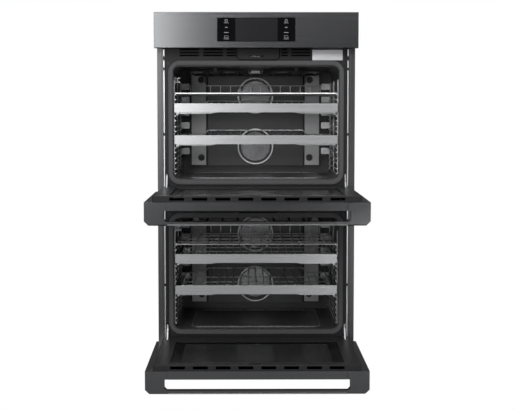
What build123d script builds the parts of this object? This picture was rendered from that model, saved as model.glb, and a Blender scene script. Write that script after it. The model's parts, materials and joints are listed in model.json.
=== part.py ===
from build123d import *
import os

# Double wall oven, built in. Millimetres, X to the right, Y into the cabinet, Z up.
# The origin is under the middle of the base, at the front plane of the face frames.
# The doors are at rest open, level, on their stops, and the racks are pushed in.

os.makedirs("parts", exist_ok=True)

# Overall
FACE_HALF = 379.5                 # half width of the doors and the control panel
FACE_Y = -57.5                    # front plane of the closed doors and the panel
HEIGHT = 1322.0                   # top of the control panel
SHELL_HALF = 359.0                # half width of the chassis inside the cabinet
SHELL_TOP = 1300.0
SHELL_BACK = 597.0
SHEET = 1.5                       # usual sheet thickness
FRAME_Y = 2.0                     # the front frames lie between y = 0 and here
CABINET_Y = 0.5                   # plane of the cabinet's front, behind the side trims

# Each oven is set out from the bottom edge of its closed door.
OVENS = {"upper": 619.0, "lower": 48.0}
FRAME_SPLIT = 617.0               # where the upper front frame stands on the lower one

# Control panel
PANEL_BOTTOM = 1191.0
DISPLAY_HALF = 144.8
DISPLAY_Z = (1214.0, 1301.5)

# Doors
DOOR_HEIGHT = 562.0
DOOR_BACK = -29.0                 # back of the outer skin, front of the liner
LINER_BACK = -8.0
LINER_HALF = 352.0
LINER_Z = (12.0, 557.0)
HINGE_Y = -35.0
HINGE_UP = 28.0                   # pivot above the closed door's bottom edge
HINGE_X = (329.0, 345.0)          # hinge channel in the door
ARM_X = (334.5, 339.5)            # hinge arm on the chassis
PIN = 4.0
BORE = 4.06                       # running clearance on hinge pins and fan shafts
HANDLE_HEIGHT = 25.0
HANDLE_END = 305.0                # the end blocks run from here out to the door's edge
HANDLE_FRONT = -107.5
HANDLE_BAR = 13.0
SEAM = 0.8                        # gap between the handle's ends and the skin
WINDOW_HALF = 285.0
WINDOW_Z = (95.0, 440.0)
RECESS_HALF = 297.0
RECESS_Z = (107.0, 512.0)

# Cavities
CAVITY_HALF = 312.0
CAVITY_Z = (80.0, 506.0)
CAVITY_BACK = 512.0
CAVITY_WALL = 2.0
CAVITY_CORNER = 24.0
GASKET_HALF = 322.0
GASKET_Z = (68.5, 517.5)
GASKET_WIDTH = 18.0
GASKET_CORNER = 36.0
FAN_Z = (191.0, 401.0)
WING_Y = 478.0                    # front of the baffle's wings
BOSS_Y = 464.0                    # front of the baffle's raised middle
BAFFLE_Z = (113.0, 500.0)
BAFFLE_DIP = 480.0                # top of the baffle between its raised outer corners
LAMP_X = 224.0
LAMP_Z = (145.0, 466.0)
RUNG_X = 305.0
RUNG_RADIUS = 2.3
RUNG_FIRST = 101.0
RUNG_PITCH = 40.0
RUNG_PAIR = 18.0

# Racks and slides
PLAIN_RACK_Z = 404.8
GLIDE_Z = {"middle": 366.5, "bottom": 246.5}
BAR_HALF = 307.5
BAR_HEIGHT = 33.5
RACK_BACK = 450.0
SLIDE_Y = (12.0, 452.0)

# Latches
LATCH_X = -20.0
LATCH_Y = 22.0
LATCH_REACH = 38.5
LATCH_Z = 543.0

# Fasteners
SCREW_X = 345.5
SCREW_Z = (250.0, 495.0)
STUD_X = 330.0                    # bumper studs beside the upper corners of the gasket
STUD_Z = 517.0
MOUNT_X = 364.5
MOUNT_Z = (60.0, 1180.0)
MOUNT_RADIUS = 2.5


# ---------------------------------------------------------------- shapes

def slab(x, y, z):
    """A box between a low and a high value along each axis."""
    spans = (x, y, z)
    middle = [(low + high) / 2 for low, high in spans]
    size = [high - low for low, high in spans]
    return Pos(*middle) * Box(*size)


def wide(half):
    """The span from -half to half."""
    return (-half, half)


def plate(x, y, z, corner):
    """A plate that faces along Y and has rounded corners."""
    place = Plane(origin=((x[0] + x[1]) / 2, y[0], (z[0] + z[1]) / 2), x_dir=(1, 0, 0), z_dir=(0, 1, 0))
    return extrude(place * RectangleRounded(x[1] - x[0], z[1] - z[0], corner), y[1] - y[0])


def rod(start, end, radius):
    """A round bar from one point to another."""
    run = Vector(*end) - Vector(*start)
    return Solid.make_cylinder(radius, run.length, Plane(origin=start, z_dir=run))


def disc(x, y, z, radius):
    """A round bar along Y, over the span y."""
    return rod((x, y[0], z), (x, y[1], z), radius)


def ring(x, y, z, radius, wire):
    """A torus whose axis is along Y."""
    return Solid.make_torus(radius, wire, Plane(origin=(x, y, z), z_dir=(0, 1, 0)))


def bent_rod(points, bend, radius):
    """A round bar along straight runs joined by bends."""
    route = FilletPolyline(*points, radius=bend)
    return sweep(Plane(origin=route @ 0, z_dir=route % 0) * Circle(radius), path=route)


def face_on(points, y):
    """An outline in X and Z, raised over the span y."""
    place = Plane(origin=(0, y[0], 0), x_dir=(1, 0, 0), z_dir=(0, -1, 0))
    return extrude(place * Polygon(*points, align=None), y[1] - y[0], dir=(0, 1, 0))


def prism(points, z):
    """An outline in X and Y, raised over the span z."""
    return extrude(Pos(0, 0, z[0]) * Polygon(*points, align=None), z[1] - z[0], dir=(0, 0, 1))


def pair(shape):
    """A shape and its mirror image on the other side."""
    return [shape, shape.mirror(Plane.YZ)]


def up(shapes, height):
    """Shapes lifted by a height."""
    return [Pos(0, 0, height) * shape for shape in shapes]


def each_oven(build):
    """The same pieces in both ovens."""
    return [piece for height in OVENS.values() for piece in up(build(), height)]


def save(name, shapes):
    """Write one node, with every piece as a solid of its own."""
    solids = [solid for shape in shapes for solid in shape.solids()]
    export_step(Compound(solids), f"parts/{name}.step")


# ---------------------------------------------------------------- chassis

def side_panels():
    panel = slab((SHELL_HALF - SHEET, SHELL_HALF), (FRAME_Y, SHELL_BACK), (2, SHELL_TOP))
    slots = []
    for row in range(3):
        for column in range(8):
            front = 120 + 50 * column
            bottom = 1205 + 25 * row
            slots.append(slab((SHELL_HALF - 5, SHELL_HALF + 5), (front, front + 34), (bottom, bottom + 8)))
    return pair(panel - slots)


def back_panel():
    inner = SHELL_HALF - SHEET
    panel = slab(wide(inner), (SHELL_BACK - SHEET, SHELL_BACK), (2, SHELL_TOP - SHEET))
    slots = []
    for height in OVENS.values():
        for row in range(6):
            for x in (-180, 180):
                bottom = height + 230 + 22 * row
                slots.append(slab((x - 60, x + 60), (SHELL_BACK - 5, SHELL_BACK + 5), (bottom, bottom + 8)))
    ribs = []
    for height in OVENS.values():
        for z in (120, 420):
            rib = slab(wide(300), (SHELL_BACK - SHEET - 5, SHELL_BACK - SHEET), (z, z + 12))
            ribs.append(Pos(0, 0, height) * rib)
    return [panel - slots + ribs]


def top_panel():
    inner = SHELL_HALF - SHEET
    lid = slab(wide(inner), (FRAME_Y, SHELL_BACK), (SHELL_TOP - SHEET, SHELL_TOP))
    bead = slab(wide(300), (80, 96), (SHELL_TOP, SHELL_TOP + 4))
    return [lid + bead + Pos(0, 340, 0) * bead]


def base_pan():
    floor = slab(wide(SHELL_HALF), (-2, SHELL_BACK), (0, 2))
    inner = SHELL_HALF - SHEET
    flange = slab((inner - 2, inner), (10, SHELL_BACK - 10), (2, 22))
    return [floor + pair(flange)]


def side_trims():
    """Facing strips beside the cavities, with a raised bead and the cabinet screw holes."""
    section = [(341.5, 0), (341.5, -2.8), (343, -4), (348, -4), (349.5, -2.8), (349.5, -2),
               (355.5, -2), (355.5, -5.5), (371.5, -5.5), (371.5, CABINET_Y),
               (SHELL_HALF + 0.5, CABINET_Y), (SHELL_HALF + 0.5, 0)]
    strip = prism(section, (40, 1189))
    holes = [disc(MOUNT_X, (-10, 10), z, MOUNT_RADIUS) for z in MOUNT_Z]
    for height in OVENS.values():
        holes += [disc(SCREW_X, (-10, 10), height + z, 5.2) for z in SCREW_Z]
    holes.append(plate((340, 351), (-10, 10), (1150, 1158), 2.9))
    return pair(strip - holes)


def bottom_trim():
    """Louvred closing strip under the lower door."""
    half = 371.5
    body = slab(wide(half), (FACE_Y, 0), (2, 38))
    hollow = slab(wide(half - SHEET), (FACE_Y + SHEET, 5), (2 + SHEET, 38 - SHEET))
    slots = []
    for row in range(2):
        for column in range(8):
            x = -294 + 84 * column
            slots.append(slab((x - 34, x + 34), (FACE_Y - 5, FACE_Y + 5), (11 + 11 * row, 16 + 11 * row)))
    return [body - hollow - slots]


def frame_cuts(height, vent_rows):
    """Openings in a front frame: cavity, hinge arms, vents, latch and screws."""
    cuts = [plate(wide(CAVITY_HALF + CAVITY_WALL), (-10, 10),
                  (height + CAVITY_Z[0] - CAVITY_WALL, height + CAVITY_Z[1] + CAVITY_WALL),
                  CAVITY_CORNER + CAVITY_WALL)]
    pivot = height + HINGE_UP
    cuts += pair(slab((333, 341), (-10, 10), (pivot + 30, pivot + 74)))
    for row in vent_rows:
        for x in ((-288, -214), (-199, -124), (-112, -76), (94, 119), (132, 204)):
            cuts.append(plate(x, (-10, 10), (height + row - 3.4, height + row + 3.4), 3.3))
    cuts.append(latch_slot(height))
    for z in SCREW_Z:
        cuts += pair(disc(SCREW_X, (-10, 10), height + z, 2))
    return cuts


def latch_slot(height):
    return slab((LATCH_X - 6, LATCH_X + 48), (-20, 20), (height + LATCH_Z - 2.5, height + LATCH_Z + 2.5))


def lower_front_frame():
    sheet = slab(wide(SHELL_HALF), (0, FRAME_Y), (2, FRAME_SPLIT))
    return [sheet - frame_cuts(OVENS["lower"], (546, 557))]


def upper_front_frame():
    sheet = slab(wide(SHELL_HALF), (0, FRAME_Y), (FRAME_SPLIT, SHELL_TOP - SHEET))
    return [sheet - frame_cuts(OVENS["upper"], (546, 557, 568))]


def cavity():
    """Enamelled oven liner, with holes for the fan shafts in its rear wall."""
    low, high = CAVITY_Z
    wall = CAVITY_WALL
    outer = plate(wide(CAVITY_HALF + wall), (0, CAVITY_BACK + wall), (low - wall, high + wall),
                  CAVITY_CORNER + wall)
    inner = plate(wide(CAVITY_HALF), (-1, CAVITY_BACK), CAVITY_Z, CAVITY_CORNER)
    holes = [disc(0, (500, 530), z, 8) for z in FAN_Z]
    tray = extrude(Pos(0, 240, low) * RectangleRounded(500, 410, 30), 3)
    tray = fillet(tray.edges().filter_by_position(Axis.Z, low + 2.9, low + 3.1), 2.5)
    return [(outer - inner - holes) + tray]


def gasket():
    reach = GASKET_WIDTH / 2
    low, high = GASKET_Z
    outer = plate(wide(GASKET_HALF + reach), (-7, 0), (low - reach, high + reach), GASKET_CORNER + reach)
    inner = plate(wide(GASKET_HALF - reach), (-9, 2), (low + reach, high - reach), GASKET_CORNER - reach)
    seal = outer - inner
    front = seal.edges().filter_by_position(Axis.Y, -7.01, -6.99)
    return [fillet(front, 5)]


def insulation():
    """Wrap around the liner, and a pad behind it that the fan motors pass through."""
    wrap = plate(wide(350), (32, CAVITY_BACK), (34, 534), 50)
    wrap = wrap - plate(wide(316), (20, CAVITY_BACK + 10), (60, 510), 30)
    pad = plate(wide(312), (CAVITY_BACK + 3, 534), (84, 502), 20)
    pad = pad - [disc(0, (500, 540), z, 52) for z in FAN_Z]
    return [wrap, pad]


def ladder():
    """Side wires that carry the racks, on three posts, with clips at the back."""
    wires = [rod((309.2, y, RUNG_FIRST), (309.2, y, 455), 2) for y in (16, 245, 472)]
    for step in range(8):
        for z in (RUNG_FIRST + RUNG_PITCH * step, RUNG_FIRST + RUNG_PITCH * step + RUNG_PAIR):
            wires.append(rod((RUNG_X, 14, z), (RUNG_X, 474, z), RUNG_RADIUS))
    return pair(Part() + wires)


def ladder_clips():
    clips = []
    for step in range(6):
        bottom = 160 + 53 * step
        clips += pair(plate((273, 306), (474, 476), (bottom, bottom + 25), 3))
    return clips


def rack_ladders():
    return each_oven(lambda: ladder() + ladder_clips())


def baffle_outline(inset):
    """Plan of the rear cover: flat wings beside a raised middle."""
    right = [(195 - inset, BOSS_Y + inset), (202 - inset, WING_Y + inset), (265.5 - inset, WING_Y + inset),
             (265.5 - inset, CAVITY_BACK + 5 * inset)]
    left = [(-x, y) for x, y in reversed(right)]
    return left + right


def fan_baffle():
    """Rear cover over the fans, pierced for air and for the lamps."""
    low, high = BAFFLE_Z
    cover = prism(baffle_outline(0), BAFFLE_Z) - prism(baffle_outline(SHEET), (low + SHEET, high - SHEET))
    slope = [(212, BAFFLE_DIP), (252, high - 2), (262, high + 10)]
    dip = [(-x, z) for x, z in reversed(slope)] + slope
    cuts = [disc(0, (450, 475), z, 68) for z in FAN_Z]
    for z in LAMP_Z:
        cuts += pair(disc(LAMP_X, (470, 490), z, 16))
    return [cover - face_on(dip, (450, 520)) - cuts]


def fan_guard(z):
    """Wire ring around a fan opening, with a slotted screen inside it."""
    screen = disc(0, (BOSS_Y - 4.6, BOSS_Y - 3.4), z, 69)
    slots = []
    for row in range(-5, 6):
        half = (60 ** 2 - (11 * row) ** 2) ** 0.5 - 3
        slots.append(slab(wide(half), (450, 470), (z + 11 * row - 4, z + 11 * row + 4)))
    return ring(0, BOSS_Y - 4, z, 71, 4) + (screen - slots)


def fan_guards():
    return each_oven(lambda: [fan_guard(z) for z in FAN_Z])


def fan(z):
    """Convection fan: hub, back plate, twelve blades and the shaft."""
    blades = []
    for turn in range(12):
        blades.append(Rot(0, 30 * turn, 0) * slab((8, 57), (488, 507), (-1, 1)))
    pieces = [disc(0, (484, 508), 0, 11), disc(0, (506, 508), 0, 60), disc(0, (507, 545), 0, PIN)]
    return Pos(0, 0, z) * (Part() + pieces + blades)


def fan_motor(z):
    flange = disc(0, (CAVITY_BACK + CAVITY_WALL, 517), z, 46)
    can = disc(0, (516, 572), z, 36)
    bearing = disc(0, (571, 578), z, 12)
    return flange + can + bearing - disc(0, (500, 552), z, BORE)


def fan_motors():
    blower = rod((0, 400, 1270), (0, 400, 1295), 34) - rod((0, 400, 1265), (0, 400, 1291), BORE)
    return each_oven(lambda: [fan_motor(z) for z in FAN_Z]) + [blower]


def ring_element(z):
    tails = [rod((x, 495, z + 64), (x, CAVITY_BACK, z + 64), 3.5) for x in (-16, 16)]
    return ring(0, 495, z, 66, 3.5) + tails


def ring_elements():
    return each_oven(lambda: [ring_element(z) for z in FAN_Z])


def element_route(lanes, front, back, tail, z):
    """Half of a heating element's plan: out from the rear wall and through its lanes."""
    right = [(18, CAVITY_BACK), (18, tail), (lanes[0], tail)]
    ends = (front, back)
    for number, lane in enumerate(lanes):
        right.append((lane, ends[number % 2]))
        if number + 1 < len(lanes):
            right.append((lanes[number + 1], ends[number % 2]))
    left = [(-x, y) for x, y in reversed(right)]
    return [(x, y, z) for x, y in right + left]


def broil_element():
    lanes = (250, 190, 130, 70)
    rod_path = bent_rod(element_route(lanes, 60, 390, 440, 485), 22, 4)
    hangers = []
    for x, y, half in ((0, 390, 28), (-160, 225, 6), (160, 225, 6)):
        hangers.append(slab((x - half, x + half), (y - 1, y + 1), (489, CAVITY_Z[1])))
    return [rod_path] + hangers


def bake_element():
    return [bent_rod(element_route((255, 170, 85), 90, 400, 450, 71), 30, 4)]


def lamp(x, z):
    bezel = disc(x, (WING_Y - 3.5, WING_Y), z, 19)
    bulb = disc(x, (WING_Y - 1, 505), z, 15.5)
    lens = fillet((bezel + bulb).edges().filter_by_position(Axis.Y, WING_Y - 3.51, WING_Y - 3.49), 2.5)
    return lens


def cavity_lamps():
    return each_oven(lambda: [lamp(x, z) for z in LAMP_Z for x in wide(LAMP_X)])


def temperature_probe():
    """Probe socket on the left wall: a plate with two jaws and a web."""
    socket = slab((-CAVITY_HALF, -310), (106, 134), (440, 472))
    socket += slab((-311, -292), (112, 128), (446, 451))
    socket += slab((-311, -292), (112, 128), (461, 466))
    return [socket + slab((-305, -299), (114, 126), (450, 462))]


# ---------------------------------------------------------------- top compartment

def control_fascia():
    """Folded control panel with a window for the display, on two brackets."""
    body = slab(wide(FACE_HALF), (FACE_Y, -2), (PANEL_BOTTOM, HEIGHT))
    hollow = slab(wide(FACE_HALF - SHEET), (FACE_Y + SHEET, 5), (PANEL_BOTTOM + SHEET, HEIGHT - SHEET))
    low, high = DISPLAY_Z
    window = slab(wide(DISPLAY_HALF + 0.4), (FACE_Y - 5, FACE_Y + 5), (low - 0.4, high + 0.4))
    brackets = pair(slab((340, 341.5), (FACE_Y + SHEET, 0), (1200, 1290)))
    shell = chamfer(body.edges().filter_by_position(Axis.Y, FACE_Y - 0.01, FACE_Y + 0.01), 1)
    return [shell - hollow - window + brackets]


def control_glass():
    """Display glass, flush in its window, with a wider flange behind the panel."""
    front = slab(wide(DISPLAY_HALF), (FACE_Y + 0.2, FACE_Y + SHEET), DISPLAY_Z)
    flange = slab(wide(150), (FACE_Y + SHEET, -53), (DISPLAY_Z[0] - 6, DISPLAY_Z[1] + 6))
    return [front + flange]


def control_board():
    board = slab(wide(140), (-48, -46.4), (1216, 1299))
    posts = [disc(x, (-53, -48), z, 3) for x in (-130, 130) for z in (1224, 1291)]
    chips = [slab((x - 14, x + 14), (-46.4, -36), (1232, 1250)) for x in (-100, -50, 0, 50, 100)]
    relays = [slab((x - 9, x + 9), (-46.4, -26), (1266, 1290)) for x in (-90, -45, 45, 90)]
    return [board + posts + chips + relays]


def latch_cover(top):
    """Cover over the latch slot, and the pin and bracket that the hook turns on."""
    cover = plate((-72, 87), (-6, 0), (529, top + 12), 11)
    cover = cover - slab((-80, 95), (-10, 5), (top, top + 20)) - latch_slot(0)
    cover = cover - plate((-27, 30), (-8, -4), (555, 560), 2)
    pin = rod((LATCH_X, LATCH_Y, 536), (LATCH_X, LATCH_Y, 550), 3)
    ledge = slab((LATCH_X - 10, LATCH_X + 10), (FRAME_Y, LATCH_Y + 8), (534.5, 536))
    return [cover, pin + ledge]


def latch_covers():
    return up(latch_cover(570), OVENS["upper"]) + up(latch_cover(566), OVENS["lower"])


def latch_hook():
    """Hook that swings out through the slot to hold the door."""
    arm = slab((0, LATCH_REACH - 3.5), wide(3.5), (-1.5, 1.5))
    tip = rod((LATCH_REACH - 3.5, 0, -1.5), (LATCH_REACH - 3.5, 0, 1.5), 3.5)
    eye = rod((0, 0, -1.5), (0, 0, 1.5), 7)
    bore = rod((0, 0, -5), (0, 0, 5), 3.05)
    return [Pos(LATCH_X, LATCH_Y, LATCH_Z) * (arm + tip + eye - bore)]


def blower_housing():
    """Scroll and duct of the cooling blower, on a deck over the upper oven."""
    low, high = 1210, 1270
    scroll = rod((0, 400, low), (0, 400, high), 82)
    duct = slab((20, 82), (20, 400), (low, high))
    room = rod((0, 400, low + SHEET), (0, 400, high - SHEET), 80.5)
    channel = slab((20 + SHEET, 80.5), (10, 400), (low + SHEET, high - SHEET))
    inlet = rod((0, 400, 1200), (0, 400, 1215), 44)
    top_hole = rod((0, 400, 1265), (0, 400, 1275), 9)
    deck = slab(wide(SHELL_HALF - SHEET), (40, 560), (1178, 1180)) - slab((-60, 60), (340, 460), (1170, 1190))
    legs = [rod((x, 400, 1180), (x, 400, low), 4) for x in (-72, 72)]
    legs.append(rod((51, 60, 1180), (51, 60, low), 4))
    return [scroll + duct - room - channel - inlet - top_hole, deck] + legs


def blower_wheel():
    vanes = [Rot(0, 0, 15 * turn) * slab((51, 60), wide(0.8), (1222, 1258)) for turn in range(24)]
    ends = rod((0, 0, 1220), (0, 0, 1222.5), 61) - rod((0, 0, 1215), (0, 0, 1230), 50)
    disc_top = rod((0, 0, 1257.5), (0, 0, 1260), 61)
    shaft = rod((0, 0, 1245), (0, 0, 1288), PIN)
    return [Pos(0, 400, 0) * (Part() + [ends, disc_top, shaft] + vanes)]


def rating_plate():
    low = OVENS["upper"]
    return [plate((211, 325), (-0.7, 0), (low + 528, low + 567), 1.5)]


def trim_screws():
    screws = []
    for height in OVENS.values():
        for z in SCREW_Z:
            head = disc(SCREW_X, (-3.6, 0), height + z, 4.6)
            shank = disc(SCREW_X, (-1, 9), height + z, 1.95)
            screws += pair(head + shank)
        screws += pair(disc(STUD_X, (-3.6, 0), height + STUD_Z, 6.5))
    return screws


def terminal_box():
    """Supply box on top at the back, with its cable entry."""
    box = slab((215, 325), (500, 590), (SHELL_TOP, SHELL_TOP + 20))
    hollow = slab((217, 323), (502, 588), (SHELL_TOP + 2, SHELL_TOP + 18))
    entry = disc(270, (586, 597), SHELL_TOP + 10, 9) - disc(270, (580, 600), SHELL_TOP + 10, 7)
    return [box - hollow + entry - disc(270, (580, 600), SHELL_TOP + 10, 7)]


# ---------------------------------------------------------------- doors

def swung_open(shapes, height):
    """Door pieces drawn closed, turned down to the open stop and lifted to their oven."""
    pivot = Axis((0, HINGE_Y, HINGE_UP), (1, 0, 0))
    return [Pos(0, 0, height) * shape.rotate(pivot, 90) for shape in shapes]


def door_skin():
    """Outer door panel: a tray with a return flange, notched for the handle's ends."""
    body = slab(wide(FACE_HALF), (FACE_Y, DOOR_BACK), (0, DOOR_HEIGHT))
    low_front = [edge for edge in body.edges().filter_by(Axis.X)
                 if edge.center().Z < 1 and edge.center().Y < FACE_Y + 1]
    body = chamfer(low_front, 8)
    hollow = slab(wide(FACE_HALF - SHEET), (FACE_Y + SHEET, DOOR_BACK - SHEET), (9, DOOR_HEIGHT - SHEET))
    back = slab(wide(LINER_HALF - 5), (FACE_Y + 10, DOOR_BACK + 5), (17, DOOR_HEIGHT - 10))
    window = plate(wide(WINDOW_HALF + 0.5), (FACE_Y - 5, FACE_Y + 5),
                   (WINDOW_Z[0] - 0.5, WINDOW_Z[1] + 0.5), 6.5)
    corner = slab((HANDLE_END - SEAM, FACE_HALF + 5), (FACE_Y - 5, DOOR_BACK + 5),
                  (DOOR_HEIGHT - HANDLE_HEIGHT, DOOR_HEIGHT + 5))
    notch = slab((HINGE_X[0] - 1, HINGE_X[1] + 1), (FACE_Y + SHEET, DOOR_BACK + 5), (9, 20))
    return [body - hollow - back - window - pair(corner) - pair(notch)]


def door_glass():
    low, high = WINDOW_Z
    front = plate(wide(WINDOW_HALF), (FACE_Y + 0.3, FACE_Y + SHEET), WINDOW_Z, 6)
    flange = plate(wide(WINDOW_HALF + 8), (FACE_Y + SHEET, FACE_Y + 5.5), (low - 8, high + 8), 10)
    return [front + flange]


def door_liner():
    """Inner door panel with its window recess, vent slots, hinge slots and latch strike."""
    body = plate(wide(LINER_HALF), (DOOR_BACK, LINER_BACK), LINER_Z, 5)
    body = fillet(body.edges().filter_by_position(Axis.Y, LINER_BACK - 0.01, LINER_BACK + 0.01), 2.5)
    low, high = LINER_Z
    inside = wide(LINER_HALF - SHEET)
    hollow = plate(inside, (DOOR_BACK - 5, LINER_BACK - SHEET), (low + SHEET, high - SHEET), 4)
    recess = plate(wide(RECESS_HALF), (LINER_BACK - 10, LINER_BACK + 5), RECESS_Z, 12)
    rim = plate(wide(RECESS_HALF + SHEET), (LINER_BACK - 6, LINER_BACK - 1),
                (RECESS_Z[0] - SHEET, RECESS_Z[1] + SHEET), 13.5)
    slots = []
    for number in (-3.5, -2.5, -1.5, -0.5, 0.5, 1.5, 2.5, 3.5):
        x = 77 * number
        slots.append(slab((x - 25, x + 25), (-23.5, -13.5), (high - 5, high + 5)))
    strike = plate((LATCH_X - 6, LATCH_X + 28.5), (LINER_BACK - 5, LINER_BACK + 5), (539, 547), 2)
    hinges = pair(slab((332, 342), (DOOR_BACK - 5, LINER_BACK + 5), (2, 92)))
    return [(body - hollow + rim) - recess - slots - strike - hinges]


def door_inner_glass():
    """Window pane behind the recess, a middle pane, and the pads that space them."""
    low, high = RECESS_Z
    edge = RECESS_HALF + SHEET
    window = plate(wide(edge), (-18, LINER_BACK - 6), (low - SHEET, high + SHEET), 13.5)
    middle = plate(wide(296), (-42, -38), (80, 505), 8)
    pads = []
    for z in (128, 490):
        pads += pair(disc(284, (-38, -18), z, 5))
    for z in (100, 434):
        pads += pair(disc(284, (-52, -42), z, 5))
    return [window + middle + pads]


def door_handle():
    """Square-section bar whose ends wrap the door's top corners."""
    outer = [(FACE_HALF, DOOR_BACK - 0.3), (FACE_HALF, HANDLE_FRONT + 15), (FACE_HALF - 15, HANDLE_FRONT)]
    inner_y = HANDLE_FRONT + HANDLE_BAR
    inner = [(HANDLE_END, DOOR_BACK - 0.3), (HANDLE_END, FACE_Y), (HANDLE_END + 9, FACE_Y),
             (HANDLE_END + 9, inner_y + 8), (HANDLE_END + 1, inner_y)]
    right = list(reversed(inner)) + outer
    left = [(-x, y) for x, y in reversed(right)]
    bar = prism(right + left, (DOOR_HEIGHT - HANDLE_HEIGHT, DOOR_HEIGHT))
    front = [edge for edge in bar.edges().filter_by(Axis.X) if edge.center().Y < HANDLE_FRONT + 1]
    bar = chamfer(front, 4)
    return [bar]


def door_hinges():
    """Channels in the door's sides, each with the pin that its arm turns on."""
    left, right = HINGE_X
    channel = slab(HINGE_X, (FACE_Y + SHEET, -13), (9.5, 200))
    channel = channel - slab((left + 2, right - 2), (FACE_Y + SHEET + 2, 0), (0, 198))
    channel = channel - slab((left - 5, right + 5), (DOOR_BACK - SHEET, 0), (0, LINER_Z[0] + SHEET))
    pin = rod((left + 1, HINGE_Y, HINGE_UP), (right - 1, HINGE_Y, HINGE_UP), PIN)
    return pair(channel + pin)


def hinge_arm():
    """Fixed hinge arm: eye on the pin, strap, and the block that hooks in the front frame."""
    place = Plane(origin=(ARM_X[0], HINGE_Y, HINGE_UP), x_dir=(0, 1, 0), z_dir=(1, 0, 0))
    strap = Rot(0, 0, 56) * Pos(31, 0) * Rectangle(62, 15)
    block = Pos(46, 52) * Rectangle(32, 36)
    tab = Pos(42, 27) * Rectangle(10, 16)
    outline = Circle(9) + strap + block + tab - Circle(BORE)
    return pair(extrude(place * outline, ARM_X[1] - ARM_X[0]))


# ---------------------------------------------------------------- racks

def plain_rack():
    """Top rack: wires on cross rods between two side rods, and a raised rear fence."""
    z = PLAIN_RACK_Z
    wires = [rod((x, 12, z), (x, RACK_BACK + 2, z), 3) for x in wide(302.5)]
    wires += [rod((-300, y, z - 3), (300, y, z - 3), 2.5) for y in (110, 230, 350, 446)]
    wires.append(rod((-302, 12, z - 1), (302, 12, z - 1), 4))
    columns = [20.5 + 41 * number for number in range(7)]
    columns = [-x for x in reversed(columns)] + columns
    wires += [rod((x, 12, z + 0.9), (x, RACK_BACK, z + 0.9), 1.8) for x in columns]
    uprights = [rod((x, RACK_BACK + 1.8, z - 4), (x, RACK_BACK + 1.8, z + 36), 1.8) for x in columns]
    y = RACK_BACK + 1.8
    rails = [rod((-278, y, z + level), (278, y, z + level), 2) for level in (-4, 36)]
    return [Part() + wires, Part() + uprights + rails]


def glide_grid():
    """Wires of a sliding rack, under the front bar's top edge, with a raised rear rail."""
    wires = [rod((x, 7, -5), (x, RACK_BACK, -5), 3) for x in wide(288)]
    wires += [rod((-288, y, -6.9), (288, y, -6.9), 2.5) for y in (60, 156, 299)]
    for number in range(19):
        x = -270 + 30 * number
        if abs(x) < 190:
            wires.append(bent_rod([(x, 7, -3), (x, 437, -3), (x, RACK_BACK, 10)], 6, 1.8))
        else:
            wires.append(rod((x, 7, -3), (x, RACK_BACK, -3), 1.8))
    right = [(196, 12), (212, -7), (288, -7)]
    left = [(-x, z) for x, z in reversed(right)]
    wires.append(bent_rod([(x, RACK_BACK, z) for x, z in left + right], 6, 2.5))
    return Part() + wires


def glide_rack(grid):
    """A grid, its front bar with a lip below each side, and the rails that carry them."""
    low = -BAR_HEIGHT
    bar = plate(wide(BAR_HALF), (4, 7), (low, 0), 4) + slab(wide(286), (6, 20), (low, low + 2))
    lip = face_on([(140, low + 1), (172, low - 5), (291, low - 5), (291, low + 1)], (17, 19))
    rails = pair(slab((291.05, 297.6), (7, 447), (-39.4, -22.6)))
    angles = []
    for front in (80, 340):
        upright = slab((289.5, 291.05), (front, front + 40), (-39, -8))
        angles += pair(upright + slab((284, 291.05), (front, front + 40), (-9.5, -8)))
    return [bar + pair(lip), grid] + rails + angles


def slide_channel(web, lip, thickness, z):
    """A side channel open towards the middle: web plane, lip reach, height span."""
    low, high = z
    outer = slab((lip, web), SLIDE_Y, z)
    return outer - slab((lip - 5, web - thickness), (0, 500), (low + thickness, high - thickness))


def fixed_slide():
    """Outer slide member and the plates that hook between the ladder's wires."""
    channel = slide_channel(302.2, 294.7, SHEET, (-44, -18))
    hooks = [slab((302.2, 308), (front, front + 50), (-38, -31)) for front in (60, 380)]
    return pair(channel + hooks)


def glide_rails():
    return each_oven(lambda: [piece for z in GLIDE_Z.values() for piece in up(fixed_slide(), z)])


def middle_slide():
    """Slide member that travels half as far as the rack."""
    return pair(slide_channel(299.9, 293.2, SHEET, (-41.7, -20.3)))


# ---------------------------------------------------------------- the nodes

def chassis_nodes():
    return {
        "side_panels": side_panels(),
        "back_panel": back_panel(),
        "top_panel": top_panel(),
        "base_pan": base_pan(),
        "side_trims": side_trims(),
        "bottom_trim": bottom_trim(),
        "upper_front_frame": upper_front_frame(),
        "lower_front_frame": lower_front_frame(),
        "upper_cavity": up(cavity(), OVENS["upper"]),
        "lower_cavity": up(cavity(), OVENS["lower"]),
        "door_gaskets": each_oven(gasket),
        "insulation_blankets": each_oven(insulation),
        "rack_ladders": rack_ladders(),
        "fan_baffles": each_oven(fan_baffle),
        "fan_guards": fan_guards(),
        "fan_motors": fan_motors(),
        "ring_elements": ring_elements(),
        "broil_elements": each_oven(broil_element),
        "bake_elements": each_oven(bake_element),
        "cavity_lamps": cavity_lamps(),
        "temperature_probes": each_oven(temperature_probe),
        "control_fascia": control_fascia(),
        "control_glass": control_glass(),
        "control_board": control_board(),
        "latch_covers": latch_covers(),
        "blower_housing": blower_housing(),
        "rating_plate": rating_plate(),
        "hinge_arms": each_oven(hinge_arm),
        "trim_screws": trim_screws(),
        "terminal_box": terminal_box(),
        "glide_rails": glide_rails(),
        "blower_wheel": blower_wheel(),
    }


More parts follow.
